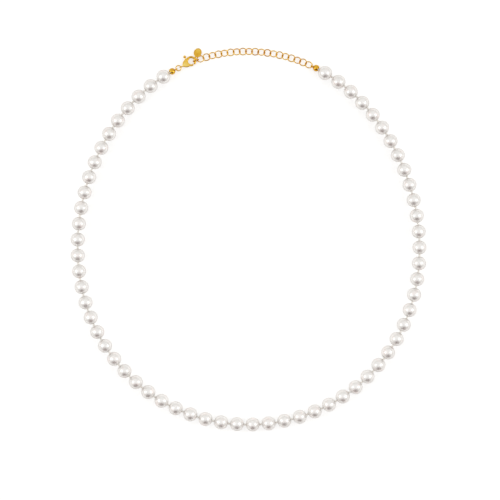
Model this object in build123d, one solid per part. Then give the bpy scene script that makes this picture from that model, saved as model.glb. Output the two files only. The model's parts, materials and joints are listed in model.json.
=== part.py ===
from build123d import *
from math import acos, asin, atan2, cos, degrees, hypot, pi, radians, sin, sqrt
import os

# ---- driving dimensions, mm and degrees ----------------------------------------------------
# plan of the necklace as it lies: a circle, slightly long and slightly egg shaped
LOOP_RADIUS = 71.9
LOOP_OVAL = 3.2
LOOP_EGG = 0.9
LOOP_LEAN = 91.8
LOOP_CENTRE = (-0.127, -0.266)

# pearls and their thread
PEARL_DIAMETER = 5.6
PEARL_COUNT = 61
PEARL_PITCH = 6.4
PEARL_HOLE_RADIUS = 0.4
THREAD_RADIUS = 0.25
KNOT_RADIUS = 0.5
STRAND_START = 115.0
PEARLS_PER_FOLD = 4
FOLD_COUNT = 6
CUT_GAP = 0.03

# bead tips: hollow folded cups with a loop, closed over the thread's last knots
TIP_RADIUS = 1.3
TIP_WALL = 0.25
TIP_HOLE_RADIUS = 0.4
TIP_SEAM = 0.06
TIP_DISTANCE = 4.1
TIP_HEIGHT = 1.9
TIP_TO_LOOP = 1.95
LOOP_RING_RADIUS = 0.6
LOOP_WIRE = 0.18
RIGHT_LOOP_TILT = 72.0

# small rings and links
METAL_HEIGHT = 0.9
JUMP_RADIUS = 1.05
JUMP_WIRE = 0.2
LOOP_TO_JUMP = 1.23
JUMP_TO_EYE = 1.16
RING_RADIUS = 1.44
RING_WIRE = 0.18
RING_COUNT = 19
RING_TILT = 28.0
END_LINK_RADIUS = 1.15
END_LINK_TILT = 80.0
END_LINK_TO_RING = 2.0
RING_TO_LOOP = 1.64

# lobster clasp, in its own frame: u from the tail eye to the hook's bearing point
CLASP_LENGTH = 6.17
HOOK_TO_LINK = 0.3
EYE_RADIUS = 0.55
EYE_WIRE = 0.18
BODY_THICKNESS = 1.7
BODY_EDGE = 0.3
SLOT_THICKNESS = 0.9
SLOT_START = 1.7
HOOK_CENTRE = (4.6, 0.5)
HOOK_RADIUS = 1.65
HOOK_WIRE = 0.42
HOOK_OPENING = 1.22
LEVER_THICKNESS = 0.8
PIVOT = (2.6, -0.05)
PIN_RADIUS = 0.25
LEVER_REACH = 2.6
KNOB_CENTRE = (2.9, 3.15)
KNOB_RADIUS = 0.55
SPRING_AXIS_V = 0.75
SPRING_RADIUS = 0.28
SPRING_WIRE = 0.06
SPRING_TURNS = 4

# oval tag on its own ring
TAG_RING_RADIUS = 0.78
TAG_RING_WIRE = 0.15
TAG_HALF_WIDTH = 1.55
TAG_HALF_LENGTH = 2.0
TAG_THICKNESS = 0.34
TAG_RIM = 0.32
TAG_RECESS = 0.1
TAG_EYE_RADIUS = 0.72
TAG_EYE_HOLE = 0.36
TAG_LEAN = 17.0
TAG_SLOPE = 18.5

UP = Vector(0, 0, 1)
TURN = 2 * pi


# ---- plan curve ----------------------------------------------------------------------------
def plan(angle):
    """Point of the necklace's centre line in plan, for an angle in radians round the loop."""
    turned = angle - radians(LOOP_LEAN)
    radius = LOOP_RADIUS + LOOP_OVAL * cos(2 * turned) + LOOP_EGG * cos(3 * turned)
    x = LOOP_CENTRE[0] + radius * cos(angle)
    y = LOOP_CENTRE[1] + radius * sin(angle)
    return x, y


def step(angle, distance, sense):
    """Angle of the point a straight distance further on; sense +1 is anticlockwise."""
    start = plan(angle)
    near, far = angle, angle + sense * 0.5
    for _ in range(50):
        middle = (near + far) / 2
        x, y = plan(middle)
        if hypot(x - start[0], y - start[1]) < distance:
            near = middle
        else:
            far = middle
    return (near + far) / 2


def step_from(point, angle, distance, sense):
    """As step, but the distance is measured from a point that is near the curve."""
    near, far = angle, angle + sense * 0.3
    for _ in range(50):
        middle = (near + far) / 2
        x, y = plan(middle)
        if hypot(x - point.X, y - point.Y) < distance:
            near = middle
        else:
            far = middle
    return (near + far) / 2


def at(angle, height):
    x, y = plan(angle)
    return Vector(x, y, height)


def flat(vector):
    return Vector(vector.X, vector.Y, 0).normalized()


# ---- shapes --------------------------------------------------------------------------------
def rod(start, end, radius):
    """Round rod between two points."""
    along = end - start
    return extrude(Plane(start, z_dir=along) * Circle(radius), along.length)


def ring(centre, along, tilt, radius, wire):
    """Wire ring whose plane holds `along` and leans up by tilt degrees from the outward side."""
    outward = UP.cross(along)
    lean = radians(tilt)
    rise = outward * cos(lean) + UP * sin(lean)
    return Plane(centre, x_dir=along, z_dir=along.cross(rise)) * Torus(radius, wire)


def save(name, *solids):
    """Write one STEP file; several solids in it are identical or matching pieces."""
    shape = solids[0] if len(solids) == 1 else Compound(children=list(solids))
    shape.label = name
    export_step(shape, "parts/" + name + ".step")


os.makedirs("parts", exist_ok=True)

# ---- stations round the loop ---------------------------------------------------------------
pearl_radius = PEARL_DIAMETER / 2
knot_angles = [radians(STRAND_START)]
for _ in range(PEARL_COUNT):
    knot_angles.append(step(knot_angles[-1], PEARL_PITCH, 1))
knots = [at(angle, pearl_radius) for angle in knot_angles]
centres = [(a + b) * 0.5 for a, b in zip(knots, knots[1:])]

tip_drop = TIP_HEIGHT - METAL_HEIGHT
tip_reach = sqrt(TIP_TO_LOOP**2 - tip_drop**2)
left_tip = step_from(centres[0], knot_angles[0], TIP_DISTANCE, -1)
right_tip = step_from(centres[-1], knot_angles[-1] - TURN, TIP_DISTANCE, 1)
left_loop = step(left_tip, tip_reach, -1)
right_loop = step(right_tip, tip_reach, 1)
jump_angle = step(left_loop, LOOP_TO_JUMP, -1)
eye_angle = step(jump_angle, JUMP_TO_EYE, -1)
hook_angle = step(eye_angle, CLASP_LENGTH, -1)
link_angle = step(hook_angle, HOOK_TO_LINK, -1)
first_ring = step(link_angle, END_LINK_TO_RING, -1)
last_ring = step(right_loop, RING_TO_LOOP, 1)

# the rings share what is left of the loop equally
low_pitch, high_pitch = 2.2, 2.8
for _ in range(40):
    ring_pitch = (low_pitch + high_pitch) / 2
    ring_angles = [first_ring]
    for _ in range(RING_COUNT - 1):
        ring_angles.append(step(ring_angles[-1], ring_pitch, -1))
    if ring_angles[-1] > last_ring:
        low_pitch = ring_pitch
    else:
        high_pitch = ring_pitch

ring_height = RING_RADIUS * sin(radians(RING_TILT)) + RING_WIRE
link_height = END_LINK_RADIUS * sin(radians(END_LINK_TILT)) + RING_WIRE
loop_left = at(left_loop, METAL_HEIGHT)
loop_right = at(right_loop, METAL_HEIGHT)
jump_centre = at(jump_angle, METAL_HEIGHT)
eye_centre = at(eye_angle, METAL_HEIGHT)
hook_point = at(hook_angle, METAL_HEIGHT)
link_centre = at(link_angle, link_height)
ring_centres = [at(angle, ring_height) for angle in ring_angles]

# ---- pearls --------------------------------------------------------------------------------
drill = Cylinder(PEARL_HOLE_RADIUS, PEARL_DIAMETER + 1)
pearl = Sphere(pearl_radius) - drill


def drilled_pearl(index):
    along = knots[index + 1] - knots[index]
    return Plane(centres[index], z_dir=along) * pearl


def knotted_thread(first, last, first_knot, last_knot):
    """Thread from knot point first to last, with its own knots from first_knot to last_knot."""
    shape = None
    for index in range(first, last):
        start, end = knots[index], knots[index + 1]
        along = (end - start).normalized()
        if index < first_knot:
            start = start + along * (KNOT_RADIUS + CUT_GAP)
        if index + 1 > last_knot:
            end = end - along * (KNOT_RADIUS + CUT_GAP)
        if index == 0:
            start = centres[0] - along * (pearl_radius + 0.1)
        if index + 1 == PEARL_COUNT:
            end = centres[-1] + along * (pearl_radius + 0.1)
        piece = rod(start, end, THREAD_RADIUS)
        shape = piece if shape is None else shape + piece
    for index in range(first_knot, last_knot + 1):
        along = knots[index + 1] - knots[index - 1]
        shape = shape + Plane(knots[index], z_dir=along) * Sphere(KNOT_RADIUS)
    return shape


def tip_thread(shape, pearl_centre, outward, tip_centre):
    """Carry the thread on into a bead tip and end it in a knot there."""
    bend = pearl_centre + outward * (pearl_radius + 0.1)
    shape = shape + Pos(bend) * Sphere(THREAD_RADIUS)
    shape = shape + rod(bend, tip_centre, THREAD_RADIUS)
    return shape + Pos(tip_centre) * Sphere(KNOT_RADIUS)


tip_left = at(left_tip, TIP_HEIGHT)
tip_right = at(right_tip, TIP_HEIGHT)
left_exit = (knots[0] - knots[1]).normalized()
right_exit = (knots[-1] - knots[-2]).normalized()

# root: the front of the strand, between the first fold line's two knots
front_first = PEARLS_PER_FOLD * FOLD_COUNT
front_last = PEARL_COUNT - front_first
save("pearls_front", *[drilled_pearl(i) for i in range(front_first, front_last)])
save("thread_front", knotted_thread(front_first, front_last, front_first, front_last))

# sections 1 to 6, from next to the front to the back; each has a left and a right side
for section in range(1, FOLD_COUNT + 1):
    near = front_first - PEARLS_PER_FOLD * (section - 1)
    far = near - PEARLS_PER_FOLD
    mirror_near = PEARL_COUNT - near
    mirror_far = PEARL_COUNT - far
    left_thread = knotted_thread(far, near, max(far, 1), near - 1)
    last_knot = min(mirror_far, PEARL_COUNT - 1)
    right_thread = knotted_thread(mirror_near, mirror_far, mirror_near + 1, last_knot)
    if section == FOLD_COUNT:
        left_thread = tip_thread(left_thread, centres[0], left_exit, tip_left)
        right_thread = tip_thread(right_thread, centres[-1], right_exit, tip_right)
    save(f"pearls_left_{section}", *[drilled_pearl(i) for i in range(far, near)])
    save(f"pearls_right_{section}", *[drilled_pearl(i) for i in range(mirror_near, mirror_far)])
    save(f"thread_left_{section}", left_thread)
    save(f"thread_right_{section}", right_thread)


# ---- bead tips -----------------------------------------------------------------------------
def bead_tip(centre, thread_end, loop_centre, tilt):
    """Two cups closed into a ball round the last knot, joined at the root of their loop."""
    to_loop = (loop_centre - centre).normalized()
    ball = Sphere(TIP_RADIUS) - Sphere(TIP_RADIUS - TIP_WALL)
    seam = Pos(0, 0, 1.0) * Box(TIP_SEAM, 4 * TIP_RADIUS, 3.0)
    side = to_loop.cross(UP)
    shape = Plane(centre, x_dir=side, z_dir=to_loop * -1) * (ball - seam)
    shape = shape - rod(centre, thread_end, TIP_HOLE_RADIUS)
    return shape + ring(loop_centre, flat(to_loop), tilt, LOOP_RING_RADIUS, LOOP_WIRE)


bend_left = centres[0] + left_exit * (pearl_radius + 0.1)
bend_right = centres[-1] + right_exit * (pearl_radius + 0.1)
save("bead_tip_left", bead_tip(tip_left, bend_left, loop_left, 90))
save("bead_tip_right", bead_tip(tip_right, bend_right, loop_right, -RIGHT_LOOP_TILT))

# ---- jump ring, end link and extender rings ------------------------------------------------
to_jump = (jump_centre - loop_left).normalized()
to_eye = (eye_centre - jump_centre).normalized()
jump_along = flat(to_jump + to_eye)
save("jump_ring", ring(jump_centre, jump_along, 0, JUMP_RADIUS, JUMP_WIRE))

link_along = flat(ring_centres[0] - hook_point)
end_link = ring(link_centre, link_along, END_LINK_TILT, END_LINK_RADIUS, RING_WIRE)
save("extender_end_link", end_link)

chain = [link_centre] + ring_centres + [loop_right]
for number in range(1, RING_COUNT + 1):
    along = flat(chain[number + 1] - chain[number - 1])
    tilt = -RING_TILT if number % 2 else RING_TILT
    link = ring(chain[number], along, tilt, RING_RADIUS, RING_WIRE)
    save(f"extender_ring_{number:02d}", link)

# ---- lobster clasp -------------------------------------------------------------------------
clasp = Plane(eye_centre, x_dir=hook_point - eye_centre, z_dir=UP)
hook_u, hook_v = HOOK_CENTRE
pivot_u, pivot_v = PIVOT


def plate(face, thickness):
    return extrude(face, thickness / 2, both=True)


outline = Sketch() + [
    Pos(1.1, 0.1) * Circle(0.5),
    Pos(3.0, -0.35) * Circle(0.85),
    Pos(3.3, 1.6) * Circle(0.6),
]
body = plate(make_hull(outline.edges()), BODY_THICKNESS)
body = fillet(body.edges().filter_by(Plane.XY), BODY_EDGE)
body = body - Pos(hook_u, hook_v) * Cylinder(HOOK_OPENING, 3)
slot_length = 4.0
slot = Pos(SLOT_START + slot_length / 2, 0.5) * Box(slot_length, 6, SLOT_THICKNESS)
body = body - slot


def sector(inner, outer, start, end):
    """Flat ring sector about the hook's centre, angles in degrees."""
    middle = (start + end) / 2
    reach = 2 * outer
    corners = [(0, 0)]
    for angle in (start, (start + middle) / 2, middle, (middle + end) / 2, end):
        corners.append((reach * cos(radians(angle)), reach * sin(radians(angle))))
    wedge = make_face(Polyline(*corners, close=True))
    return Pos(hook_u, hook_v) * ((Circle(outer) - Circle(inner)) & wedge)


root = plate(sector(HOOK_OPENING, HOOK_RADIUS + HOOK_WIRE, 112, 136), BODY_THICKNESS)
hook_start, hook_end = -86, 136
hook_arc = CenterArc((hook_u, hook_v), HOOK_RADIUS, hook_start, hook_end - hook_start)
hook = sweep(Plane(hook_arc @ 0, z_dir=hook_arc % 0) * Circle(HOOK_WIRE), hook_arc)
nose_cut = Pos(pivot_u, pivot_v) * Cylinder(LEVER_REACH + 0.05, 3) & Pos(5, -2) * Box(6, 4, 3)
eye = Rot(90, 0, 0) * Torus(EYE_RADIUS, EYE_WIRE)
pin_hole = Pos(pivot_u, pivot_v) * Cylinder(PIN_RADIUS, 3)
clasp_body = body + root + (hook - nose_cut) + eye - pin_hole
save("clasp_body", clasp * clasp_body)

gate = sector(HOOK_OPENING + 0.04, HOOK_RADIUS + 0.36, 190, 330)
gate = gate & Pos(pivot_u, pivot_v) * Circle(LEVER_REACH)
arm_u, arm_v = KNOB_CENTRE[0] - pivot_u, KNOB_CENTRE[1] - pivot_v
arm_turn = degrees(atan2(arm_v, arm_u))
arm = Pos(pivot_u, pivot_v) * Rot(0, 0, arm_turn) * Pos(hypot(arm_u, arm_v) / 2, 0)
arm = arm * Rectangle(hypot(arm_u, arm_v), 0.42)
lever = plate(gate + Pos(pivot_u, pivot_v) * Circle(0.6) + arm, LEVER_THICKNESS)
lever = lever + Pos(*KNOB_CENTRE) * Sphere(KNOB_RADIUS)
lever = lever - Pos(pivot_u, pivot_v) * Cylinder(PIN_RADIUS + 0.03, 3)
save("clasp_lever", clasp * lever)

pin = Pos(pivot_u, pivot_v) * Cylinder(PIN_RADIUS, BODY_THICKNESS)
save("clasp_pin", clasp * pin)

spring_length = 0.6
spring_path = Helix(spring_length / SPRING_TURNS, spring_length, SPRING_RADIUS)
spring_end = Plane(spring_path @ 0, z_dir=spring_path % 0)
spring = sweep(spring_end * Circle(SPRING_WIRE), spring_path, is_frenet=True)
spring_place = Plane((SLOT_START + 0.07, SPRING_AXIS_V, 0), z_dir=(1, 0, 0))
save("clasp_spring", clasp * spring_place * spring)

# ---- tag and its ring ----------------------------------------------------------------------
link_outward = UP.cross(link_along)
link_lean = radians(END_LINK_TILT)
link_rise = link_outward * cos(link_lean) + UP * sin(link_lean)
link_top = link_centre + link_rise * END_LINK_RADIUS
hang = Vector(0, cos(radians(60)), -sin(radians(60)))
tag_ring_centre = link_top + hang * (TAG_RING_RADIUS - TAG_RING_WIRE - RING_WIRE - 0.04)
tag_ring = Plane(tag_ring_centre, x_dir=(0, 1, 0), z_dir=(1, 0, 0))
tag_ring = tag_ring * Torus(TAG_RING_RADIUS, TAG_RING_WIRE)
save("tag_ring", tag_ring)

strip = TAG_EYE_RADIUS - TAG_EYE_HOLE
foot = tag_ring_centre + hang * (TAG_RING_RADIUS - TAG_RING_WIRE - 0.28)
lean, slope = radians(TAG_LEAN), radians(TAG_SLOPE)
tag_along = Vector(sin(lean) * cos(slope), cos(lean) * cos(slope), -sin(slope))
tag_across = Vector(cos(lean), -sin(lean), 0)
tag_frame = Plane(foot, x_dir=tag_along, z_dir=tag_across.cross(tag_along))
eye_at = strip / 2 + TAG_EYE_HOLE
oval_at = eye_at + TAG_HALF_LENGTH + TAG_EYE_HOLE - 0.05
oval = Pos(oval_at, 0) * Ellipse(TAG_HALF_LENGTH, TAG_HALF_WIDTH)
panel = Pos(oval_at, 0) * Ellipse(TAG_HALF_LENGTH - TAG_RIM, TAG_HALF_WIDTH - TAG_RIM)
tag = plate(oval + Pos(eye_at, 0) * Circle(TAG_EYE_RADIUS), TAG_THICKNESS)
tag = tag - Pos(0, 0, TAG_THICKNESS / 2 - TAG_RECESS) * extrude(panel, 1)
tag = tag - Pos(0, 0, TAG_RECESS - TAG_THICKNESS / 2) * extrude(panel, -1)
tag = tag - Pos(eye_at, 0) * Cylinder(TAG_EYE_HOLE, 2)
save("tag", tag_frame * tag)
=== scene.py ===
"""Pearl necklace: hand-knotted pearls, gold findings and a soft studio, laid out as an add-on."""

import json
import math

import bmesh
import bpy
import numpy as np
from bpy.props import FloatProperty, PointerProperty, StringProperty
from mathutils import Matrix, Vector


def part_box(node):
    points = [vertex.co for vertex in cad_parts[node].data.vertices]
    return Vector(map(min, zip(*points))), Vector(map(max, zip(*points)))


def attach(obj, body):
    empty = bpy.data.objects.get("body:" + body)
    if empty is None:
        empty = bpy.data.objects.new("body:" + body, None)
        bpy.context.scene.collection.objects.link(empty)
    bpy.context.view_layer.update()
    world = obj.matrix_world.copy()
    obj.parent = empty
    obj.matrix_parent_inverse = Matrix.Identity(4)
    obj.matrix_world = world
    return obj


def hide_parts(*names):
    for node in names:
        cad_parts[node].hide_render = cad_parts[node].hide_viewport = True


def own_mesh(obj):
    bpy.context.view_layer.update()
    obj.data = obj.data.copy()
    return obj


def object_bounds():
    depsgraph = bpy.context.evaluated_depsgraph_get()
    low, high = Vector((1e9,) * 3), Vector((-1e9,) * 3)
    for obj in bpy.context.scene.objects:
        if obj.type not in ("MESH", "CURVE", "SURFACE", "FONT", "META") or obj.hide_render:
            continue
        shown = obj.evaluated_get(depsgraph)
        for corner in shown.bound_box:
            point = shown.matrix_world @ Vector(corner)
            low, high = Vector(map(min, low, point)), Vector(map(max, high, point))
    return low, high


bl_info = {
    "name": "Pearl necklace",
    "version": (1, 0, 0),
    "blender": (4, 5, 0),
    "location": "3D View > Sidebar > Necklace",
    "description": "Builds a knotted pearl strand with its clasp, extender chain and tag",
    "category": "Add Mesh",
}

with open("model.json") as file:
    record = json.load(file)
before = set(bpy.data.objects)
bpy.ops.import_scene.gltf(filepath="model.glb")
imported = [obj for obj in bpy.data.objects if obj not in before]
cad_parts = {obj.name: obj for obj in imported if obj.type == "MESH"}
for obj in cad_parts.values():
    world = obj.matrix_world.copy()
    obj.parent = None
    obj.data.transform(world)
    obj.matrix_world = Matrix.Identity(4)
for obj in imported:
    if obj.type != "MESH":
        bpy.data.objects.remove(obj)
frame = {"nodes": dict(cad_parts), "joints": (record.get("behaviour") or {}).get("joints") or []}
cad_low, cad_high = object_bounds()

MM = 0.001
TURN = 2 * math.pi
UP = np.array([0.0, 0.0, 1.0])

# plan of the strand: a circle, slightly long and slightly egg shaped, in millimetres
LOOP_CENTRE = (-0.127, -0.266)
LOOP_RADIUS = 71.9
LOOP_OVAL = 3.2
LOOP_EGG = 0.9
LOOP_LEAN = math.radians(91.8)
STRAND_START = math.radians(115.0)
PEARL_PITCH = 6.4
PEARL_SIZE = 5.6
PEARL_COUNT = 61
PER_FOLD = 4
FOLDS = 6

# thread: how far it stops short of a knot across a fold and of the strand's two ends, the
# plies' twist in radians per metre, and the thread's radius inside a knot
FOLD_GAP = 0.56
END_GAP = 0.29
PLY_TWIST = 2200.0
KNOT_THREAD = 0.15

# bead tips: distances from the end pearl's middle to the thread's mouth and to the ball, then
# from ball to loop, heights of the ball and of what lies flat, the hollow ball and its loop
MOUTH_REACH = 2.9
TIP_REACH = 4.1
TIP_TO_LOOP = 1.95
TIP_HEIGHT = 1.9
FLAT_HEIGHT = 0.9
TIP_BALL = 1.3
TIP_WALL = 0.25
TIP_HOLE = 0.42
TIP_LOOP = 0.6

# rings: radius to the middle of the wire, and the wire's own radius
CHAIN_RINGS = 19
TILT = math.radians(28.0)
END_LINK = (1.15, 0.18)
JUMP_RING = (1.05, 0.2)
TAG_RING = (0.78, 0.15)

# clasp: steps from the bead tip's loop to the jump ring, to the eye and to the hook's far end,
# then millimetres along it, across it and up, from the middle of its eye
JUMP_STEP, EYE_STEP, HOOK_STEP = 1.23, 1.16, 6.17
EYE_RADIUS = 0.55
HOOK_U, HOOK_V, HOOK_RADIUS = 4.6, 0.5, 1.65
PIVOT_U, PIVOT_V = 2.6, -0.05
KNOB_U, KNOB_V, KNOB_RADIUS = 2.9, 3.15, 0.55
# the cheeks' outline is stretched round three circles: (along, across, radius)
CHEEK = ((1.1, 0.1, 0.5), (3.0, -0.35, 0.85), (3.3, 1.6, 0.6))
SPRING_U, SPRING_V = 1.76, 0.75
SPRING_LONG, SPRING_RADIUS, SPRING_WIRE = 0.61, 0.28, 0.055

# tag: half its width and length, and its eye
TAG_HALF_WIDE, TAG_HALF_LONG = 1.55, 2.0
TAG_EYE = 0.54


# ---- stations along the necklace -----------------------------------------------------------


def plan(angle):
    """Radius = circle + second harmonic + third harmonic, both about the loop's long axis."""
    turned = angle - LOOP_LEAN
    radius = LOOP_RADIUS + LOOP_OVAL * np.cos(2 * turned) + LOOP_EGG * np.cos(3 * turned)
    centre = np.array(LOOP_CENTRE)
    return centre + np.array([radius * np.cos(angle), radius * np.sin(angle)])


def walk(start, angle, distance, sense):
    """Angle round the plan where the straight distance from a start point is reached."""
    near, far = angle, angle + sense * 0.5
    for _ in range(50):
        middle = (near + far) / 2
        if np.hypot(*(plan(middle) - start)) < distance:
            near = middle
        else:
            far = middle
    return (near + far) / 2


def knot_points():
    """Knot centres along the strand, in metres, a pearl's pitch apart in a straight line."""
    angles = [STRAND_START]
    for _ in range(PEARL_COUNT):
        angles.append(walk(plan(angles[-1]), angles[-1], PEARL_PITCH, 1))
    flat = np.array([plan(a) for a in angles])
    low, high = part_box("pearls_front")
    height = (low.z + high.z) / 2 / MM
    return np.column_stack([flat, np.full(len(flat), height)]) * MM


KNOTS = knot_points()
CENTRES = (KNOTS[1:] + KNOTS[:-1]) / 2


def joint(name):
    """Pivot point and unit axis of one of the frame's joints."""
    for entry in frame["joints"]:
        if entry["name"] == name:
            axis = np.array(entry["axis"], float)
            return np.array(entry["pos_m"], float), axis / np.linalg.norm(axis)
    raise RuntimeError(f"the frame has no joint named {name}")


def middle(node):
    """Middle of a node's box at rest."""
    low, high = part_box(node)
    return np.array((low + high) / 2)


def unit(vector):
    """Vectors over their own lengths."""
    return vector / np.linalg.norm(vector, axis=-1, keepdims=True)


def level(vector):
    """Unit vector of a vector's horizontal part."""
    return unit(np.array([vector[0], vector[1], 0.0]))


# ---- surfaces ------------------------------------------------------------------------------


def grid_faces(rows, columns, first, wrap_rows):
    """Quads over a grid of points: each row is a closed ring, and the rows may close up too."""
    i, j = np.arange(rows if wrap_rows else rows - 1), np.arange(columns)
    i, j = np.meshgrid(i, j, indexing="ij")
    a = i * columns + j
    b = i * columns + (j + 1) % columns
    c = ((i + 1) % rows) * columns + (j + 1) % columns
    d = ((i + 1) % rows) * columns + j
    return first + np.stack([a, b, c, d], axis=-1).reshape(-1, 4)


class Surface:
    """Gathers grids of points and turns them into one mesh object."""

    def __init__(self):
        self.points = []
        self.quads = []
        self.rings = []
        self.count = 0

    def grid(self, points, wrap_rows=False):
        """Adds a (rows, columns, 3) grid; open ends are closed by one face each."""
        rows, columns = points.shape[:2]
        self.quads.append(grid_faces(rows, columns, self.count, wrap_rows))
        if not wrap_rows:
            start = self.count + np.arange(columns)
            self.rings += [start[::-1], start + (rows - 1) * columns]
        self.points.append(points.reshape(-1, 3))
        self.count += rows * columns
        return self

    def make(self, name, material, body, slot, nodes, smooth_angle=40.0):
        """Mesh object at the origin, facing outward, smooth except over sharp edges.

        It rides on the body and stands for the nodes.
        """
        mesh = bpy.data.meshes.new(name)
        faces = np.concatenate(self.quads).tolist() + [ring.tolist() for ring in self.rings]
        mesh.from_pydata(np.concatenate(self.points).tolist(), [], faces)
        mesh.validate()
        shell = bmesh.new()
        shell.from_mesh(mesh)
        bmesh.ops.recalc_face_normals(shell, faces=shell.faces)
        shell.to_mesh(mesh)
        shell.free()
        mesh.polygons.foreach_set("use_smooth", [True] * len(mesh.polygons))
        mesh.set_sharp_from_angle(angle=math.radians(smooth_angle))
        mesh.materials.append(material)
        piece = bpy.data.objects.new(name, mesh)
        bpy.context.scene.collection.objects.link(piece)
        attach(piece, body)
        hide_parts(*nodes)
        return piece


def torus(centre, along, rise, radius, section, count, columns=20, seam=None, nick=0.0):
    """Point = centre + (radius + section's first part) round the ring + its second part across.

    section(turn, angle) gives the wire's offset outwards and sideways. At the seam, where the
    wire's two ends meet, the samples crowd together, the wire thins by the nick in a narrow
    bell curve, and one end stands a little beside the other.
    """
    along, rise = unit(along), unit(rise)
    across = np.cross(along, rise)
    turn = np.linspace(0, TURN, count, endpoint=False)
    if seam is not None:
        turn = seam + turn - 0.8 * np.sin(turn)
    angle = np.linspace(0, TURN, columns, endpoint=False)
    u, v = np.meshgrid(turn, angle, indexing="ij")
    out, side = section(u, v)
    if seam is not None:
        away = (u - seam + math.pi) % TURN - math.pi
        thin = 1 - nick * np.exp(-((away / 0.035) ** 2))
        out, side = out * thin, side * thin
        step = 0.06 * np.abs(out).max()
        side = side + step * np.tanh(away / 0.03) * np.exp(-((away / 0.5) ** 2))
    radial = np.cos(u)[..., None] * along + np.sin(u)[..., None] * rise
    return centre + (radius + out)[..., None] * radial - side[..., None] * across


def wire(radius):
    """Round wire: the offset is a circle."""

    def section(u, v):
        return radius * np.cos(v), radius * np.sin(v)

    return section


def strap(thickness, width, power=3.0):
    """Flat strap: the offset is a superellipse, thin outwards and wide sideways."""

    def section(u, v):
        c, s = np.cos(v), np.sin(v)
        grow = (np.abs(c) ** power + np.abs(s) ** power) ** (-1 / power)
        return thickness / 2 * c * grow, width / 2 * s * grow

    return section


def carry(path, normal, across, sections):
    """Point = path + section's first part along normal + its second part along across."""
    return (
        path[:, None, :]
        + sections[..., 0, None] * normal[:, None, :]
        + sections[..., 1, None] * across[:, None, :]
    )


def tube(path, reference, radii, columns=12, ply=0, twist=0.0, closed=False):
    """Round tube along a path: each ring stands square to the path's direction there.

    Plies swell the radius by a cosine of the angle, which turns with the distance along.
    """
    if closed:
        ahead = np.roll(path, -1, axis=0) - np.roll(path, 1, axis=0)
    else:
        ahead = np.gradient(path, axis=0)
    ahead = unit(ahead)
    normal = unit(reference - (reference * ahead).sum(-1, keepdims=True) * ahead)
    across = np.cross(ahead, normal)
    angle = np.linspace(0, TURN, columns, endpoint=False)
    run = np.concatenate([[0], np.cumsum(np.linalg.norm(np.diff(path, axis=0), axis=1))])
    swell = 1.0
    if ply:
        swell = 1 + 0.09 * np.cos(ply * (angle[None, :] - twist * run[:, None]))
    size = np.broadcast_to(radii, (len(path),))[:, None] * swell
    size = np.broadcast_to(size, (len(path), columns))
    sections = np.stack([size * np.cos(angle), size * np.sin(angle)], axis=-1)
    return carry(path, normal, across, sections)


# ---- materials -----------------------------------------------------------------------------


def linear(hex_colour):
    """Turns an sRGB hex colour to linear light, with full alpha."""
    value = np.array([int(hex_colour[k : k + 2], 16) for k in (1, 3, 5)]) / 255
    value = np.where(value <= 0.04045, value / 12.92, ((value + 0.055) / 1.055) ** 2.4)
    return (*value.tolist(), 1.0)


def add_node(tree, kind, links=None, **settings):
    """Adds a shader node, gives it its settings and sockets, and links what feeds it."""
    node = tree.nodes.new(kind)
    for key, value in settings.items():
        if key.startswith("in_"):
            node.inputs[key[3:].replace("_", " ")].default_value = value
        else:
            setattr(node, key, value)
    for socket, source in (links or {}).items():
        tree.links.new(source, node.inputs[socket])
    return node


def new_material(name):
    """Material with an empty node tree."""
    material = bpy.data.materials.new(name)
    material.use_nodes = True
    material.node_tree.nodes.clear()
    return material, material.node_tree


def cells(size):
    """Scale of a noise pattern whose cells are this many millimetres across."""
    return 1 / (size * MM)


def finish_material(tree, shader):
    """Sends the shader to the material's surface."""
    add_node(tree, "ShaderNodeOutputMaterial", {"Surface": shader.outputs[0]})


def ramp(tree, source, stops):
    """Colour ramp from (position, hex colour) stops."""
    node = add_node(tree, "ShaderNodeValToRGB", {"Fac": source})
    elements = node.color_ramp.elements
    elements[0].position, elements[0].color = stops[0][0], linear(stops[0][1])
    elements[1].position, elements[1].color = stops[-1][0], linear(stops[-1][1])
    for position, colour in stops[1:-1]:
        elements.new(position).color = linear(colour)
    return node


def nacre_material(looks):
    """Nacre, thin aragonite layers: white body, soft deep gloss and a faint rose overtone."""
    material, tree = new_material("cultured pearl nacre")
    place = add_node(tree, "ShaderNodeTexCoord")
    # cloudy patches 2.22 mm across, as the layers vary in thickness
    cloud = add_node(
        tree,
        "ShaderNodeTexNoise",
        {"Vector": place.outputs["Object"]},
        in_Scale=cells(2.22),
        in_Detail=3.0,
        in_Roughness=0.55,
    )
    body = ramp(
        tree,
        cloud.outputs["Fac"],
        [(0.3, looks.pearl_shade), (0.5, looks.pearl_body), (0.72, looks.pearl_rose)],
    )
    # growth ripples 0.556 mm across and finer, only a few microns high
    ripple = add_node(
        tree,
        "ShaderNodeTexNoise",
        {"Vector": place.outputs["Object"]},
        in_Scale=cells(0.556),
        in_Detail=2.0,
    )
    bump = add_node(
        tree,
        "ShaderNodeBump",
        {"Height": ripple.outputs["Fac"]},
        in_Strength=0.12,
        in_Distance=0.00003,
    )
    shader = add_node(
        tree,
        "ShaderNodeBsdfPrincipled",
        {"Base Color": body.outputs["Color"], "Normal": bump.outputs["Normal"]},
        in_Metallic=0.7,
        in_Roughness=0.37,
        in_IOR=1.6,
        in_Specular_Tint=linear(looks.pearl_edge),
        in_Coat_Weight=0.15,
        in_Coat_Roughness=0.2,
        in_Coat_IOR=1.55,
    )
    finish_material(tree, shader)
    return material


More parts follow.
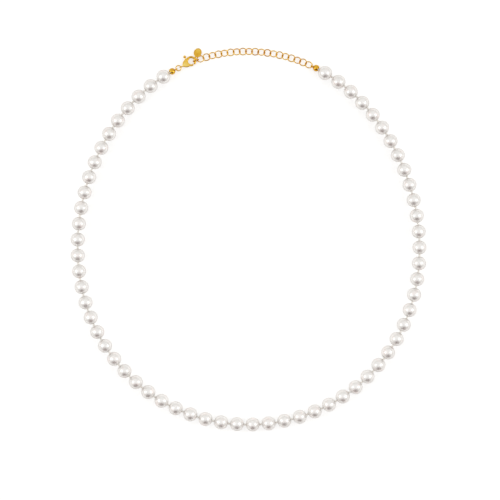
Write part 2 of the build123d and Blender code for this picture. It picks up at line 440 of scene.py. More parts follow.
def silk_material(looks):
    """Twisted silk beading cord: matt off-white with a fine oblique twist, and painted shade between the
    plies.
    """
    material, tree = new_material("twisted silk cord")
    place = add_node(tree, "ShaderNodeTexCoord")
    # plies drawn as slanting waves: a diagonal wave's spacing is a turn over 10 * root 3 * scale
    ply = 0.14 * MM
    twist = add_node(
        tree,
        "ShaderNodeTexWave",
        {"Vector": place.outputs["Object"]},
        bands_direction="DIAGONAL",
        in_Scale=TURN / (10 * math.sqrt(3) * ply),
        in_Distortion=1.5,
        in_Detail=1.0,
    )
    # the darker colour between the plies is painted shade in the grooves; the ply tops keep the silk's own
    # colour
    colour = ramp(tree, twist.outputs["Fac"], [(0.1, looks.silk_painted_shade), (0.8, looks.silk_body)])
    bump = add_node(
        tree,
        "ShaderNodeBump",
        {"Height": twist.outputs["Fac"]},
        in_Strength=0.25,
        in_Distance=0.00002,
    )
    shader = add_node(
        tree,
        "ShaderNodeBsdfPrincipled",
        {"Base Color": colour.outputs["Color"], "Normal": bump.outputs["Normal"]},
        in_Roughness=0.7,
        in_Sheen_Weight=0.4,
        in_Sheen_Roughness=0.5,
    )
    finish_material(tree, shader)
    return material


def gold_material(looks):
    """Yellow gold plate on brass: mirror bright, redder at a slant, faintly marked by the polish."""
    material, tree = new_material("polished gold plate")
    place = add_node(tree, "ShaderNodeTexCoord")
    # slow colour drift over 3.03 mm, as plating varies in thickness
    drift = add_node(
        tree,
        "ShaderNodeTexNoise",
        {"Vector": place.outputs["Object"]},
        in_Scale=cells(3.03),
        in_Detail=2.0,
    )
    colour = ramp(
        tree, drift.outputs["Fac"], [(0.3, looks.gold_deep), (0.55, looks.gold_body), (0.8, looks.gold_pale)]
    )
    # polishing marks 0.167 mm across and finer
    marks = add_node(
        tree,
        "ShaderNodeTexNoise",
        {"Vector": place.outputs["Object"]},
        in_Scale=cells(0.167),
        in_Detail=2.0,
    )
    rough = add_node(
        tree,
        "ShaderNodeMapRange",
        {"Value": marks.outputs["Fac"]},
        in_To_Min=0.1,
        in_To_Max=0.19,
    )
    bump = add_node(
        tree,
        "ShaderNodeBump",
        {"Height": marks.outputs["Fac"]},
        in_Strength=0.3,
        in_Distance=0.000004,
    )
    shader = add_node(
        tree,
        "ShaderNodeBsdfPrincipled",
        {
            "Base Color": colour.outputs["Color"],
            "Roughness": rough.outputs["Result"],
            "Normal": bump.outputs["Normal"],
        },
        in_Metallic=1.0,
        in_Specular_Tint=linear(looks.gold_edge),
    )
    finish_material(tree, shader)
    return material


def steel_material(looks):
    """Drawn spring wire: grey steel, slightly streaked by the die."""
    material, tree = new_material("drawn spring steel")
    place = add_node(tree, "ShaderNodeTexCoord")
    # die marks 0.2 mm across
    marks = add_node(
        tree,
        "ShaderNodeTexNoise",
        {"Vector": place.outputs["Object"]},
        in_Scale=cells(0.2),
        in_Detail=2.0,
    )
    colour = ramp(
        tree, marks.outputs["Fac"], [(0.3, looks.steel_shade), (0.7, looks.steel_body)]
    )
    shader = add_node(
        tree,
        "ShaderNodeBsdfPrincipled",
        {"Base Color": colour.outputs["Color"]},
        in_Metallic=1.0,
        in_Roughness=0.32,
    )
    finish_material(tree, shader)
    return material


def table_material(looks):
    """Opal acrylic table lit from below: nearly white, so shadows stay faint."""
    material, tree = new_material("opal acrylic table")
    place = add_node(tree, "ShaderNodeTexCoord")
    # casting grain 25 mm across, seen only in the gloss
    grain = add_node(
        tree, "ShaderNodeTexNoise", {"Vector": place.outputs["Object"]}, in_Scale=cells(25), in_Detail=2.0
    )
    rough = add_node(
        tree,
        "ShaderNodeMapRange",
        {"Value": grain.outputs["Fac"]},
        in_To_Min=0.45,
        in_To_Max=0.6,
    )
    shader = add_node(
        tree,
        "ShaderNodeBsdfPrincipled",
        {"Roughness": rough.outputs["Result"]},
        in_Base_Color=linear(looks.table),
        in_Emission_Color=linear("#FFFFFF"),
        in_Emission_Strength=looks.table_glow,
    )
    finish_material(tree, shader)
    return material


def tent_world(looks):
    """White tent: bright overhead, dimmer near the floor, with a dark warm opening in front."""
    world = bpy.data.worlds.new("white_tent")
    world.use_nodes = True
    tree = world.node_tree
    tree.nodes.clear()
    place = add_node(tree, "ShaderNodeTexCoord")
    split = add_node(tree, "ShaderNodeSeparateXYZ", {"Vector": place.outputs["Generated"]})
    wall = ramp(
        tree,
        split.outputs["Z"],
        [(0.0, "#D8D2CC"), (0.15, "#DCD7D2"), (0.5, "#F4F3F1"), (1.0, "#FFFFFF")],
    )
    # the opening's middle is 30 degrees up; the ramp runs over the cosine from that direction
    opening = (0.0, -math.cos(math.radians(30)), math.sin(math.radians(30)))
    near = add_node(tree, "ShaderNodeVectorMath", {0: place.outputs["Generated"]}, operation="DOT_PRODUCT")
    near.inputs[1].default_value = opening
    shade = ramp(
        tree,
        near.outputs["Value"],
        [(0.0, "#FFFFFF"), (0.78, "#FFFFFF"), (0.93, "#6E4C42"), (1.0, "#5E4038")],
    )
    # a colour mix node takes its two colours at sockets 6 and 7 and gives them at socket 2
    both = add_node(
        tree,
        "ShaderNodeMix",
        {6: wall.outputs["Color"], 7: shade.outputs["Color"]},
        data_type="RGBA",
        blend_type="MULTIPLY",
    )
    both.inputs[0].default_value = 1.0
    light = add_node(
        tree, "ShaderNodeBackground", {"Color": both.outputs[2]}, in_Strength=looks.tent
    )
    add_node(tree, "ShaderNodeOutputWorld", {"Surface": light.outputs[0]})
    return world


FINISHES = {
    "nacre": nacre_material,
    "silk": silk_material,
    "gold": gold_material,
    "steel": steel_material,
    "table": table_material,
}
MADE = {}


def finish_of(kind):
    """Each material is made once and shared by its pieces."""
    if kind not in MADE:
        MADE[kind] = FINISHES[kind](bpy.context.scene.necklace_looks)
    return MADE[kind]


# ---- pearls and thread ---------------------------------------------------------------------


def pearl_points(index, sizes, count=44, turns=56):
    """Closed profile turned about the drill axis: outside arc, rounded rim, then the hole.

    Outside, the radius wavers by under a hundredth with a cosine round the axis and one along
    it, and the length by a sine; size and phases differ from pearl to pearl.
    """
    centre = CENTRES[index]
    axis = unit(KNOTS[index + 1] - KNOTS[index])
    side = np.cross(UP, axis)
    top = np.cross(axis, side)
    radius = sizes.pearl / 2 * (1 - 0.012 * (0.5 + 0.5 * math.sin(index * 2.4)))
    hole = sizes.drill / 2
    lip = 0.06 * MM
    start = math.asin((hole + lip) / radius)
    polar = np.linspace(start, math.pi - start, count)
    along = radius * np.cos(polar)
    out = radius * np.sin(polar)
    # rim: a quarter turn that rolls from the outside into the hole
    roll = np.linspace(0, 1, 5)[1:] * math.pi / 2
    edge = along[0]
    rim_along = edge - lip * (1 - np.cos(roll))
    rim_out = hole + lip - lip * np.sin(roll)
    inner = np.linspace(rim_along[-1], -rim_along[-1], 6)[1:-1]
    along = np.concatenate([along, -rim_along, -inner, rim_along[::-1]])
    out = np.concatenate([out, rim_out, np.full(len(inner), hole), rim_out[::-1]])
    turn = np.linspace(0, TURN, turns, endpoint=False)
    a, t = np.meshgrid(along, turn, indexing="ij")
    r = np.repeat(out[:, None], turns, axis=1)
    phase = TURN * ((index * 0.618) % 1.0)
    waver = 1 + 0.004 * np.cos(2 * t + phase) * (r / radius) ** 2
    waver += 0.003 * np.cos(3 * a / radius + 2 * phase)
    r = np.where(r > hole * 1.5, r * waver, r)
    a = np.where(r > hole * 1.5, a * (1 + 0.004 * math.sin(5 * phase)), a)
    return (
        centre
        + a[..., None] * axis
        + (r * np.cos(t))[..., None] * side
        + (r * np.sin(t))[..., None] * top
    )


def section_nodes():
    """For each body of the strand: (body, side, first pearl, one past its last pearl)."""
    first = PER_FOLD * FOLDS
    yield "strand_front", "front", first, PEARL_COUNT - first
    for number in range(1, FOLDS + 1):
        near = first - PER_FOLD * (number - 1)
        far = near - PER_FOLD
        body = f"strand_section_{number}"
        yield body, f"left_{number}", far, near
        yield body, f"right_{number}", PEARL_COUNT - near, PEARL_COUNT - far


def knot_path(centre, axis, side, spin, count=54):
    """Tight overhand knot, a trefoil: twice round the thread while it weaves in and out 3 times.

    Distance out = mean + swing * cos 3t, turned by 2t; distance along = half * sin 3t.
    """
    mean, swing, half = 0.25 * MM, 0.13 * MM, 0.2 * MM
    other = np.cross(axis, side)
    t = np.linspace(0, TURN, count, endpoint=False)
    out = mean + swing * np.cos(3 * t)
    x, y = out * np.cos(2 * t + spin), out * np.sin(2 * t + spin)
    radial = x[:, None] * side + y[:, None] * other
    return centre + radial + half * np.sin(3 * t)[:, None] * axis, unit(radial)


def knot(centre, axis, spin):
    """Round thread carried along the knot's closed path."""
    path, out = knot_path(centre, axis, unit(np.cross(axis, UP)), spin)
    return tube(path, out, KNOT_THREAD * MM, 8, closed=True)


def thread_run(start, end, radius, count):
    """Straight stretch of three-ply silk from one point to another."""
    path = start + (end - start) * np.linspace(0, 1, count)[:, None]
    return tube(path, UP, radius, ply=3, twist=PLY_TWIST)


def own_knots(side, first, last):
    """First and last knot of a section: a fold's knot belongs to the section nearer the front."""
    if side.startswith("left"):
        last -= 1
    if side.startswith("right"):
        first += 1
    return max(first, 1), min(last, PEARL_COUNT - 1)


def run_ends(index, own_first, own_last):
    """Ends of the thread through one pearl, short of another section's knot and of both ends."""
    start, end = KNOTS[index], KNOTS[index + 1]
    axis = unit(end - start)
    if index == 0:
        start = start + axis * END_GAP * MM
    elif index < own_first:
        start = start + axis * FOLD_GAP * MM
    if index + 1 == PEARL_COUNT:
        end = end - axis * END_GAP * MM
    elif index + 1 > own_last:
        end = end - axis * FOLD_GAP * MM
    return start, end


# ---- bead tips -----------------------------------------------------------------------------


def tip_plan():
    """Angles round the plan of each bead tip and its loop."""
    left = walk(CENTRES[0][:2] / MM, STRAND_START, TIP_REACH, -1)
    end = math.atan2(*(KNOTS[-1][:2] / MM - np.array(LOOP_CENTRE))[::-1])
    right = walk(CENTRES[-1][:2] / MM, end, TIP_REACH, 1)
    reach = math.sqrt(TIP_TO_LOOP**2 - (TIP_HEIGHT - FLAT_HEIGHT) ** 2)
    left_loop = walk(plan(left), left, reach, -1)
    right_loop = walk(plan(right), right, reach, 1)
    return {"left": (left, left_loop), "right": (right, right_loop)}


def tip_mouth(side):
    """Where the thread leaves the end pearl."""
    pearl, end = (CENTRES[0], KNOTS[0]) if side == "left" else (CENTRES[-1], KNOTS[-1])
    return pearl + unit(end - pearl) * MOUTH_REACH * MM


def tip_centre(side):
    """Middle of the bead tip's ball."""
    return np.append(plan(tip_plan()[side][0]), TIP_HEIGHT) * MM


def loop_centre(side):
    """Middle of the bead tip's loop."""
    return np.append(plan(tip_plan()[side][1]), FLAT_HEIGHT) * MM


def cup_profile(outer, wall, hole):
    """Distance and polar angle: the outside from the back to the mouth, a round lip, the inside."""
    lip_reach = 0.09
    back = math.pi - 0.02
    front = math.asin(hole / outer) + lip_reach
    lip = np.linspace(0, math.pi, 8)[1:-1]
    outside, inside = np.linspace(back, front, 40), np.linspace(front, back, 24)
    polar = np.concatenate([outside, front - lip_reach * np.sin(lip), inside])
    rolled = outer - wall / 2 + wall / 2 * np.cos(lip)
    distance = np.concatenate([np.full(40, outer), rolled, np.full(24, outer - wall)])
    return distance, polar


def cups(side):
    """Point = centre + distance * (cos polar along the thread + sin polar round it).

    The seam between the two cups is a groove, a narrow bell curve in the turn's sine.
    """
    centre = tip_centre(side)
    axis = unit(tip_mouth(side) - centre)
    lateral = unit(np.cross(axis, UP))
    vertical = np.cross(lateral, axis)
    outer, wall = TIP_BALL * MM, TIP_WALL * MM
    distance, polar = cup_profile(outer, wall, TIP_HOLE * MM)
    turn = np.linspace(0, TURN, 72, endpoint=False)
    turn = turn - 0.42 * np.sin(2 * turn)
    p, t = np.meshgrid(polar, turn, indexing="ij")
    r = np.repeat(distance[:, None], len(turn), axis=1)
    groove = 0.05 * MM * np.exp(-((np.sin(t) / 0.024) ** 2))
    r = r - np.where(r > outer - wall / 2, groove, 0)
    return (
        centre
        + (r * np.cos(p))[..., None] * axis
        + (r * np.sin(p) * np.cos(t))[..., None] * vertical
        + (r * np.sin(p) * np.sin(t))[..., None] * lateral
    )


def tip_loop(side):
    """Strap ring, upright on the clasp's side and leaning with the chain on the other."""
    loop = loop_centre(side)
    along = level(loop - tip_centre(side))
    lean = math.radians(90 if side == "left" else -72)
    rise = np.cross(UP, along) * math.cos(lean) + UP * math.sin(lean)
    return torus(loop, along, rise, TIP_LOOP * MM, strap(0.3 * MM, 0.42 * MM), 72)


# ---- settings ------------------------------------------------------------------------------


METRES = {"subtype": "DISTANCE", "unit": "LENGTH", "precision": 5}


class NecklaceSizes(bpy.types.PropertyGroup):
    """Sizes of the repeated pieces, in metres."""

    pearl: FloatProperty(
        name="Pearl diameter",
        description="Across a pearl, square to its hole",
        default=PEARL_SIZE * MM,
        **METRES,
    )
    drill: FloatProperty(
        name="Drill hole",
        description="Diameter of the hole through each pearl",
        default=0.8 * MM,
        **METRES,
    )
    thread: FloatProperty(
        name="Thread diameter",
        description="Diameter of the twisted silk",
        default=0.46 * MM,
        **METRES,
    )
    chain_wire: FloatProperty(
        name="Chain wire",
        description="Diameter of the wire of the extender's rings",
        default=0.39 * MM,
        **METRES,
    )
    chain_ring: FloatProperty(
        name="Chain ring",
        description="Diameter of an extender ring, to the middle of its wire",
        default=2.88 * MM,
        **METRES,
    )


class NecklaceLooks(bpy.types.PropertyGroup):
    """Colours, as sRGB hex values, and the light of the studio."""

    pearl_body: StringProperty(name="Pearl body", description="Main colour", default="#F5F4F2")
    pearl_shade: StringProperty(name="Pearl shade", description="Cooler patches", default="#EFEDEB")
    pearl_rose: StringProperty(name="Pearl rose", description="Rose patches", default="#F7EFEC")
    pearl_edge: StringProperty(name="Pearl edge", description="Seen at a slant", default="#9A8E84")
    silk_body: StringProperty(name="Silk", description="Top of the plies", default="#FFFDF9")
    # painted shade between the plies, darker than the silk's own colour
    silk_painted_shade: StringProperty(name="Silk shade", description="Between plies", default="#F6F0E7")
    gold_body: StringProperty(name="Gold", description="Main plate colour", default="#EBBE47")
    gold_deep: StringProperty(name="Deep gold", description="Redder plate", default="#D3992B")
    gold_pale: StringProperty(name="Pale gold", description="Paler plate", default="#F4D97C")
    gold_edge: StringProperty(name="Gold edge", description="Seen at a slant", default="#A8661A")
    steel_body: StringProperty(name="Steel", description="Spring wire", default="#B9B6B1")
    steel_shade: StringProperty(name="Steel shade", description="Die marks", default="#8D8A86")
    table: StringProperty(name="Table", description="Colour of the table", default="#BDBDBC")
    table_glow: FloatProperty(
        name="Table glow", description="Light from inside the opal table", default=0.58, min=0.0
    )
    key_power: FloatProperty(
        name="Softbox power", description="Power of each softbox", default=0.85, min=0.0, unit="POWER"
    )
    tent: FloatProperty(
        name="Tent light", description="Brightness of the white tent", default=0.95, min=0.0
    )


# ---- operators -----------------------------------------------------------------------------


class NECKLACE_OT_pearls(bpy.types.Operator):
    """Drilled pearls of every section, each a little different from its neighbour"""

    bl_idname = "necklace.pearls"
    bl_label = "Pearls"

    def execute(self, context):
        sizes = context.scene.necklace_sizes
        for body, side, first, last in section_nodes():
            surface = Surface()
            for index in range(first, last):
                surface.grid(pearl_points(index, sizes), wrap_rows=True)
            node = f"pearls_{side}"
            surface.make(f"drilled_{node}", finish_of("nacre"), body, "pearl", [node])
        return {"FINISHED"}


class NECKLACE_OT_thread(bpy.types.Operator):
    """Silk thread with an overhand knot between pearls and one inside each bead tip"""

    bl_idname = "necklace.thread"
    bl_label = "Thread and knots"

    def execute(self, context):
        radius = context.scene.necklace_sizes.thread / 2
        for body, side, first, last in section_nodes():
            surface = Surface()
            own_first, own_last = own_knots(side, first, last)
            for index in range(first, last):
                start, end = run_ends(index, own_first, own_last)
                surface.grid(thread_run(start, end, radius, 40))
            for index in range(own_first, own_last + 1):
                axis = unit(KNOTS[index + 1] - KNOTS[index - 1])
                surface.grid(knot(KNOTS[index], axis, index * 1.3), wrap_rows=True)
            if side.endswith(f"_{FOLDS}"):
                hand = side.split("_")[0]
                mouth, centre = tip_mouth(hand), tip_centre(hand)
                surface.grid(thread_run(mouth, centre, radius, 16))
                surface.grid(knot(centre, unit(centre - mouth), 0.4), wrap_rows=True)
            node = f"thread_{side}"
            surface.make(f"silk_{node}", finish_of("silk"), body, "silk", [node])
        return {"FINISHED"}


class NECKLACE_OT_bead_tips(bpy.types.Operator):
    """Folded bead tips: two cups closed over the end knot, and a strap loop"""

    bl_idname = "necklace.bead_tips"
    bl_label = "Bead tips"

    def execute(self, context):
        for side in ("left", "right"):
            surface = Surface().grid(cups(side), wrap_rows=True)
            surface.grid(tip_loop(side), wrap_rows=True)
            node, body = f"bead_tip_{side}", f"strand_section_{FOLDS}"
            surface.make(f"folded_{node}", finish_of("gold"), body, "gold", [node])
        return {"FINISHED"}


def gold_ring(name, node, body, points):
    """Ring that rides on its body and stands for one node."""
    ring = Surface().grid(points, wrap_rows=True)
    ring.make(name, finish_of("gold"), body, "gold", [node])


class NECKLACE_OT_rings(bpy.types.Operator):
    """Jump ring, end link, the extender's rings and the tag's ring"""

    bl_idname = "necklace.rings"
    bl_label = "Rings"

    def execute(self, context):
        # each torus ends with its samples round and across, its seam's angle and its nick
        sizes = context.scene.necklace_sizes
        thin = wire(sizes.chain_wire / 2)
        radius = sizes.chain_ring / 2
        for number in range(1, CHAIN_RINGS + 1):
            node = f"extender_ring_{number:02d}"
            centre, axis = joint(f"ring_{number:02d}_roll")
            # neighbours lean opposite ways; the seams' places drift from ring to ring
            sign = -1 if number % 2 else 1
            along = axis * sign
            rise = np.cross(UP, along) * math.cos(sign * TILT) + UP * math.sin(sign * TILT)
            seam = math.pi / 2 + 0.9 * math.sin(number * 1.7)
            points = torus(centre, along, rise, radius, thin, 84, 18, seam, 0.22)
            gold_ring(f"gold_{node}", node, node, points)

        radius, thick = np.array(END_LINK) * MM
        centre = middle("extender_end_link")
        top, along = joint("tag_ring_swing")
        points = torus(centre, along, unit(top - centre), radius, wire(thick), 84, 18, 4.4, 0.22)
        gold_ring("gold_end_link", "extender_end_link", "extender_end", points)

        radius, thick = np.array(JUMP_RING) * MM
        centre, axis = joint("jump_ring_roll")
        rise = np.cross(UP, -axis)
        points = torus(centre, -axis, rise, radius, wire(thick), 84, 18, 1.9, 0.25)
        gold_ring("gold_jump_ring", "jump_ring", "jump_ring", points)

        radius, thick = np.array(TAG_RING) * MM
        along = np.array([0.0, 1.0, 0.0])
        points = torus(middle("tag_ring"), along, UP, radius, wire(thick), 72, 16, 3.6, 0.25)
        gold_ring("gold_tag_ring", "tag_ring", "tag_ring", points)
        return {"FINISHED"}


# ---- clasp and tag -------------------------------------------------------------------------


def clasp_frame():
    """Eye's middle, direction toward the hook and direction away from the neck."""
    start = tip_plan()["left"][1]
    jump = walk(plan(start), start, JUMP_STEP, -1)
    eye = walk(plan(jump), jump, EYE_STEP, -1)
    hook = walk(plan(eye), eye, HOOK_STEP, -1)
    origin = np.append(plan(eye), FLAT_HEIGHT)
    toward = level(np.append(plan(hook), FLAT_HEIGHT) - origin)
    return origin * MM, toward, np.cross(UP, toward)


def on_clasp(u, v, w):
    """Millimetres along the clasp, across it and up, to a point of the model, in metres."""
    origin, toward, outward = clasp_frame()
    flat = u[..., None] * toward + v[..., None] * outward + w[..., None] * UP
    return origin + flat * MM


def band(turn, inner, outer, middle_height, half_height, power, columns):
    """Curved bar about the hook's middle, in polar form.

    Radius = mean + half width * squircle(cos t), height = middle + half height *
    squircle(sin t), for every turn about the hook's middle.
    """
    angle = np.linspace(0, TURN, columns, endpoint=False)
    c, s = np.cos(angle), np.sin(angle)
    grow = (np.abs(c) ** power + np.abs(s) ** power) ** (-1 / power)
    inner = np.broadcast_to(inner, turn.shape)
    outer = np.broadcast_to(outer, turn.shape)
    half_height = np.broadcast_to(half_height, turn.shape)
    r = (inner + outer)[:, None] / 2 + (outer - inner)[:, None] / 2 * (c * grow)[None, :]
    w = middle_height + half_height[:, None] * (s * grow)[None, :]
    u = HOOK_U + r * np.cos(turn)[:, None]
    v = HOOK_V + r * np.sin(turn)[:, None]
    return on_clasp(u, v, w)


def cheek_reach(turn):
    """Near and far radius, seen from the hook's middle, of the shape stretched round 3 circles.

    The outline's point for a normal n is the circle centre plus radius * n, for the circle
    that reaches furthest along n.
    """
    way = np.linspace(0, TURN, 1440, endpoint=False)
    n = np.stack([np.cos(way), np.sin(way)], axis=-1)
    discs = np.array(CHEEK)
    reach = n @ discs[:, :2].T + discs[:, 2]
    best = discs[reach.argmax(axis=1)]
    edge = best[:, :2] + best[:, 2:] * n - (HOOK_U, HOOK_V)
    polar = np.arctan2(edge[:, 1], edge[:, 0]) % TURN
    radius = np.hypot(edge[:, 0], edge[:, 1])
    facing = (edge * n).sum(axis=1)
    far, near = facing > 0, facing <= 0
    by_far, by_near = np.argsort(polar[far]), np.argsort(polar[near])
    out = np.interp(turn, polar[far][by_far], radius[far][by_far])
    close = np.interp(turn, polar[near][by_near], radius[near][by_near])
    return close, out, polar.min(), polar.max()


def spread(start, stop, count):
    """Stations that crowd at both ends, so that rounded ends stay round."""
    return start + (stop - start) * (1 - np.cos(np.linspace(0, math.pi, count))) / 2


def round_ends(turn, reach):
    """Factor that closes a bar with a quarter ellipse at both ends."""
    run = np.minimum(turn - turn.min(), turn.max() - turn) / reach
    return np.sqrt(np.clip(1 - (1 - np.clip(run, 0.004, 1)) ** 2, 0, 1))


def swing_face(points, reach):
    """Trims points to a round face about the lever's pivot, so that the gate clears the nose.

    A point at distance d from the pivot moves straight in to the smaller of d and reach.
    """
    away = (points - on_clasp(np.array(PIVOT_U), np.array(PIVOT_V), np.array(0.0))) * (1, 1, 0)
    distance = np.linalg.norm(away, axis=-1, keepdims=True)
    return points + away * (np.minimum(distance, reach * MM) / distance - 1)


def hook_bar():
    """Round bar on an arc in degrees: a bell curve thicker at the root, with an elliptic nose."""
    nose, root = -69.0, 138.0
    arc = np.linspace(nose, root, 140)
    bar = 0.42 + 0.14 * np.exp(-(((root - arc) / 22) ** 2))
    run = np.clip((arc - nose + 0.3) / 15, 0, 1)
    bar = np.maximum(bar * np.sqrt(1 - (1 - run) ** 2), 0.03)
    turn = np.radians(arc)
    u, v = HOOK_U + HOOK_RADIUS * np.cos(turn), HOOK_V + HOOK_RADIUS * np.sin(turn)
    return tube(on_clasp(u, v, np.zeros_like(turn)), UP, bar * MM, 24)


def clasp_shell():
    """Two cheeks with a core between them, the hook, and the eye on its neck.

    Cheeks and core are curved bars between the near and far radius of the cheek's outline;
    a cheek thins where it is narrow.
    """
    shell = Surface()
    cheek_height, cheek_half, core_half, opening = 0.65, 0.2, 0.62, 1.22
    low, high = cheek_reach(np.array([math.pi]))[2:]
    turn = spread(low + 0.004, high - 0.004, 120)
    near, far = cheek_reach(turn)[:2]
    inner = np.maximum(near, opening)
    far = np.maximum(far, inner + 0.02)
    half = cheek_half * np.clip((far - inner) / 0.25, 0.15, 1) ** 0.5
    for side in (-1, 1):
        shell.grid(band(turn, inner, far, side * cheek_height, half, 3.0, 36))
    turn = spread(math.radians(174), math.radians(196), 40)
    far = cheek_reach(turn)[1] - 0.05
    near = np.minimum(2.9 / -np.cos(turn), far - 0.05)
    shell.grid(band(turn, near, far, 0.0, core_half, 6.0, 36))
    shell.grid(hook_bar())
    origin, toward = clasp_frame()[:2]
    eye = torus(origin, toward, UP, EYE_RADIUS * MM, wire(0.18 * MM), 60, 16)
    shell.grid(eye, wrap_rows=True)
    neck = on_clasp(np.linspace(0.62, 0.95, 8), np.linspace(0, 0.06, 8), np.zeros(8))
    return shell.grid(tube(neck, UP, np.linspace(0.16, 0.4, 8) * MM, 20))


def lever_hub():
    """Round hub on the rivet: a profile of radius and height turned about the pivot."""
    turn = np.linspace(0, TURN, 48, endpoint=False)
    rim = np.array([0.30, 0.52, 0.585, 0.59, 0.585, 0.52, 0.30])[:, None]
    height = np.array([-0.4, -0.4, -0.36, 0.0, 0.36, 0.4, 0.4])[:, None]
    u, v = PIVOT_U + rim * np.cos(turn), PIVOT_V + rim * np.sin(turn)
    return on_clasp(u, v, np.broadcast_to(height, u.shape))


def lever_arm():
    """Flat strap from the pivot to the knob, a little narrower toward the knob."""
    along = np.linspace(0.1, 1, 30)
    u, v = PIVOT_U + (KNOB_U - PIVOT_U) * along, PIVOT_V + (KNOB_V - PIVOT_V) * along
    path = on_clasp(u, v, np.zeros_like(along))
    thick, wide = strap(0.8 * MM, 0.84 * MM)(0.0, np.linspace(0, TURN, 24, endpoint=False))
    wide = wide * (0.5 + 0.2 * (1 - along))[:, None]
    sections = np.stack([np.broadcast_to(thick, wide.shape), wide], axis=-1)
    across = np.cross(unit(path[-1] - path[0]), UP)
    return carry(path, np.broadcast_to(UP, path.shape), np.broadcast_to(across, path.shape), sections)


def lever_knob():
    """Ball: point = centre + radius * (sin polar round it, cos polar up)."""
    polar = np.linspace(0.02, math.pi - 0.02, 28)
    p, t = np.meshgrid(polar, np.linspace(0, TURN, 40, endpoint=False), indexing="ij")
    out = KNOB_RADIUS * np.sin(p)
    return on_clasp(KNOB_U + out * np.cos(t), KNOB_V + out * np.sin(t), KNOB_RADIUS * np.cos(p))


def clasp_gate():
    """Lever: a curved gate that closes the hook, its hub, arm and knob."""
    turn = spread(math.radians(190), math.radians(283.5), 70)
    shape = round_ends(turn, 0.12)
    mean, half = 1.635, 0.37 * shape
    gate = band(turn, mean - half, mean + half, 0.0, 0.39 * shape, 3.0, 24)
    lever = Surface().grid(swing_face(gate, 2.6)).grid(lever_hub(), wrap_rows=True)
    return lever.grid(lever_arm()).grid(lever_knob())


def lever_coil():
    """Helix of four turns along the clasp, behind the lever."""
    turn = np.linspace(0, 4 * TURN, 161)
    across, up = SPRING_RADIUS * np.cos(turn), SPRING_RADIUS * np.sin(turn)
    path = on_clasp(SPRING_U + SPRING_LONG * turn / turn[-1], SPRING_V + across, up)
    spoke = across[:, None] * clasp_frame()[2] + up[:, None] * UP
    return tube(path, unit(spoke), SPRING_WIRE * MM, 8)


class NECKLACE_OT_clasp(bpy.types.Operator):
    """Lobster clasp: tail block with two cheeks and hook, then the lever and its spring"""

    bl_idname = "necklace.clasp"
    bl_label = "Clasp"

    def execute(self, context):
        gold, steel = finish_of("gold"), finish_of("steel")
        clasp_shell().make("lobster_clasp_body", gold, "clasp", "gold", ["clasp_body"])
        clasp_gate().make("lobster_clasp_lever", gold, "clasp_lever", "gold", ["clasp_lever"])
        spring = Surface().grid(lever_coil())
        wound = spring.make("lever_spring", steel, "clasp", "steel", ["clasp_spring"])
        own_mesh(wound)
        return {"FINISHED"}


def tag_plate():
    """Oval plate from a profile of (share of the way out, inset, height).

    Point = centre + (share * (half width - inset) * cos t) across + (share * (half length -
    inset) * sin t) along + height, from the panel over the rim to the edge, then mirrored.
    """
    hang = np.array([0.0, math.cos(math.radians(60)), -math.sin(math.radians(60))])
    foot = middle("tag_ring") / MM + hang * (TAG_RING[0] - TAG_RING[1] - 0.28)
    lean, slope = math.radians(17), math.radians(18.5)
    along = np.array(
        [math.sin(lean) * math.cos(slope), math.cos(lean) * math.cos(slope), -math.sin(slope)]
    )
    across = np.array([math.cos(lean), -math.sin(lean), 0.0])
    normal = np.cross(across, along)
    eye_at = foot + along * TAG_EYE
    centre = eye_at + along * (TAG_HALF_LONG + 0.31)
    # the pole is a tiny ring, so that one face closes it
    out = np.array([0.004, 0.45, 0.97, 1.0, 1.0, 1.0, 1.0, 1.0, 1.0])
    inset = np.array([0.34, 0.34, 0.34, 0.33, 0.28, 0.2, 0.1, 0.03, 0.0])
    height = np.array([0.1, 0.095, 0.03, 0.04, 0.15, 0.17, 0.165, 0.12, 0.03])
    out = np.concatenate([out, out[::-1]])[:, None]
    inset = np.concatenate([inset, inset[::-1]])[:, None]
    height = np.concatenate([height, -height[::-1]])[:, None]
    turn = np.linspace(0, TURN, 96, endpoint=False)
    wide = out * (TAG_HALF_WIDE - inset) * np.cos(turn)
    long = out * (TAG_HALF_LONG - inset) * np.sin(turn)
    tall = np.broadcast_to(height, wide.shape)
    oval = centre + wide[..., None] * across + long[..., None] * along + tall[..., None] * normal
    eye = torus(eye_at * MM, across, along, TAG_EYE * MM, strap(0.36 * MM, 0.34 * MM), 60)
    return Surface().grid(oval * MM).grid(eye, wrap_rows=True)


class NECKLACE_OT_tag(bpy.types.Operator):
    """Oval tag: plate with a raised rim, recessed blank panels and an eye"""

    bl_idname = "necklace.tag"
    bl_label = "Tag"

    def execute(self, context):
        tag_plate().make("oval_tag", finish_of("gold"), "tag", "gold", ["tag"])
        return {"FINISHED"}


class NECKLACE_OT_carried(bpy.types.Operator):
    """Gold finish on the rivet, whose shape comes straight from the frame"""

    bl_idname = "necklace.carried"
    bl_label = "Rivet finish"

    def execute(self, context):
        mesh = frame["nodes"]["clasp_pin"].data
        mesh.materials.clear()
        mesh.materials.append(finish_of("gold"))
        return {"FINISHED"}


def opal_table(scene, half=3.0):
    """Square table just under the pearls."""
    corners = half * np.array([[-1, -1], [1, -1], [1, 1], [-1, 1]])
    points = np.column_stack([corners, np.full(4, cad_low.z - 0.02 * MM)])
    mesh = bpy.data.meshes.new("opal_table")
    mesh.from_pydata(points.tolist(), [], [(0, 1, 2, 3)])
    mesh.materials.append(finish_of("table"))
    table = bpy.data.objects.new("opal_table", mesh)
    scene.collection.objects.link(table)


def softbox(scene, name, place, power, width=0.26):
    """Upright rectangular light that faces the middle of the necklace."""
    light = bpy.data.lights.new(name, "AREA")
    light.shape = "RECTANGLE"
    light.size = width
    light.size_y = width * 1.3
    light.energy = power
    lamp = bpy.data.objects.new(name, light)
    scene.collection.objects.link(lamp)
    turned = place.to_track_quat("Z", "Y").to_matrix().to_4x4()
    lamp.matrix_world = Matrix.Translation(place) @ turned


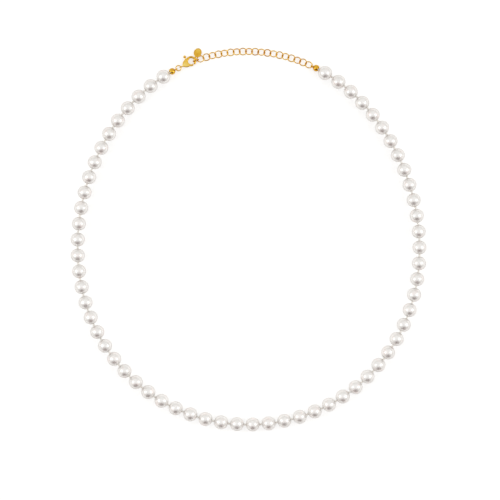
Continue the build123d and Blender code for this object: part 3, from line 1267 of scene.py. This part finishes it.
def view_camera(scene, distance=0.9, view_width=0.201):
    """Camera straight above; the lens makes the view this wide at the pearls' height."""
    camera = bpy.data.cameras.new("view_camera")
    camera.sensor_width = 36.0
    camera.lens = camera.sensor_width * distance / view_width
    camera.clip_end = 20.0
    eye = bpy.data.objects.new("view_camera", camera)
    eye.location = (0.55 * MM, -4.25 * MM, distance + KNOTS[0][2])
    scene.collection.objects.link(eye)
    scene.camera = eye


class NECKLACE_OT_studio(bpy.types.Operator):
    """Opal table, two softboxes, a white tent and the camera looking straight down"""

    bl_idname = "necklace.studio"
    bl_label = "Studio"

    def execute(self, context):
        scene = context.scene
        looks = scene.necklace_looks
        opal_table(scene)
        softbox(scene, "softbox_left", Vector((-0.6, 0.0, 0.5)), looks.key_power)
        softbox(scene, "softbox_right", Vector((0.6, 0.0, 0.5)), looks.key_power)
        scene.world = tent_world(looks)
        view_camera(scene)
        scene.view_settings.view_transform = "Standard"
        return {"FINISHED"}


class NECKLACE_PT_panel(bpy.types.Panel):
    """Sizes, colours and the steps that build the necklace"""

    bl_idname = "NECKLACE_PT_panel"
    bl_label = "Pearl necklace"
    bl_space_type = "VIEW_3D"
    bl_region_type = "UI"
    bl_category = "Necklace"

    def draw(self, context):
        layout = self.layout
        for group in (context.scene.necklace_sizes, context.scene.necklace_looks):
            box = layout.box()
            for name in group.__annotations__:
                box.prop(group, name)
        for operator in OPERATORS:
            layout.operator(operator.bl_idname)


OPERATORS = (
    NECKLACE_OT_pearls,
    NECKLACE_OT_thread,
    NECKLACE_OT_bead_tips,
    NECKLACE_OT_rings,
    NECKLACE_OT_clasp,
    NECKLACE_OT_tag,
    NECKLACE_OT_carried,
    NECKLACE_OT_studio,
)
CLASSES = (NecklaceSizes, NecklaceLooks, *OPERATORS, NECKLACE_PT_panel)


def register():
    for kind in CLASSES:
        bpy.utils.register_class(kind)
    bpy.types.Scene.necklace_sizes = PointerProperty(type=NecklaceSizes)
    bpy.types.Scene.necklace_looks = PointerProperty(type=NecklaceLooks)


def unregister():
    del bpy.types.Scene.necklace_looks
    del bpy.types.Scene.necklace_sizes
    for kind in reversed(CLASSES):
        bpy.utils.unregister_class(kind)


def check_layout(most=0.05):
    """Stops if the pearls computed here are more than this many millimetres from the frame's."""
    reach = PEARL_SIZE / 2 * MM
    for _, side, first, last in section_nodes():
        low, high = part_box(f"pearls_{side}")
        here = CENTRES[first:last]
        off = np.abs(here.min(axis=0) - reach - np.array(low)).max()
        off = max(off, np.abs(here.max(axis=0) + reach - np.array(high)).max())
        if off > most * MM:
            raise RuntimeError(f"pearls_{side} is {off / MM:.2f} mm from its place in the frame")


def main():
    """Registers the add-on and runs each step."""
    register()
    check_layout()
    steps = bpy.ops.necklace
    steps.pearls()
    steps.thread()
    steps.bead_tips()
    steps.rings()
    steps.clasp()
    steps.tag()
    steps.carried()
    steps.studio()


if __name__ == "__main__":
    main()
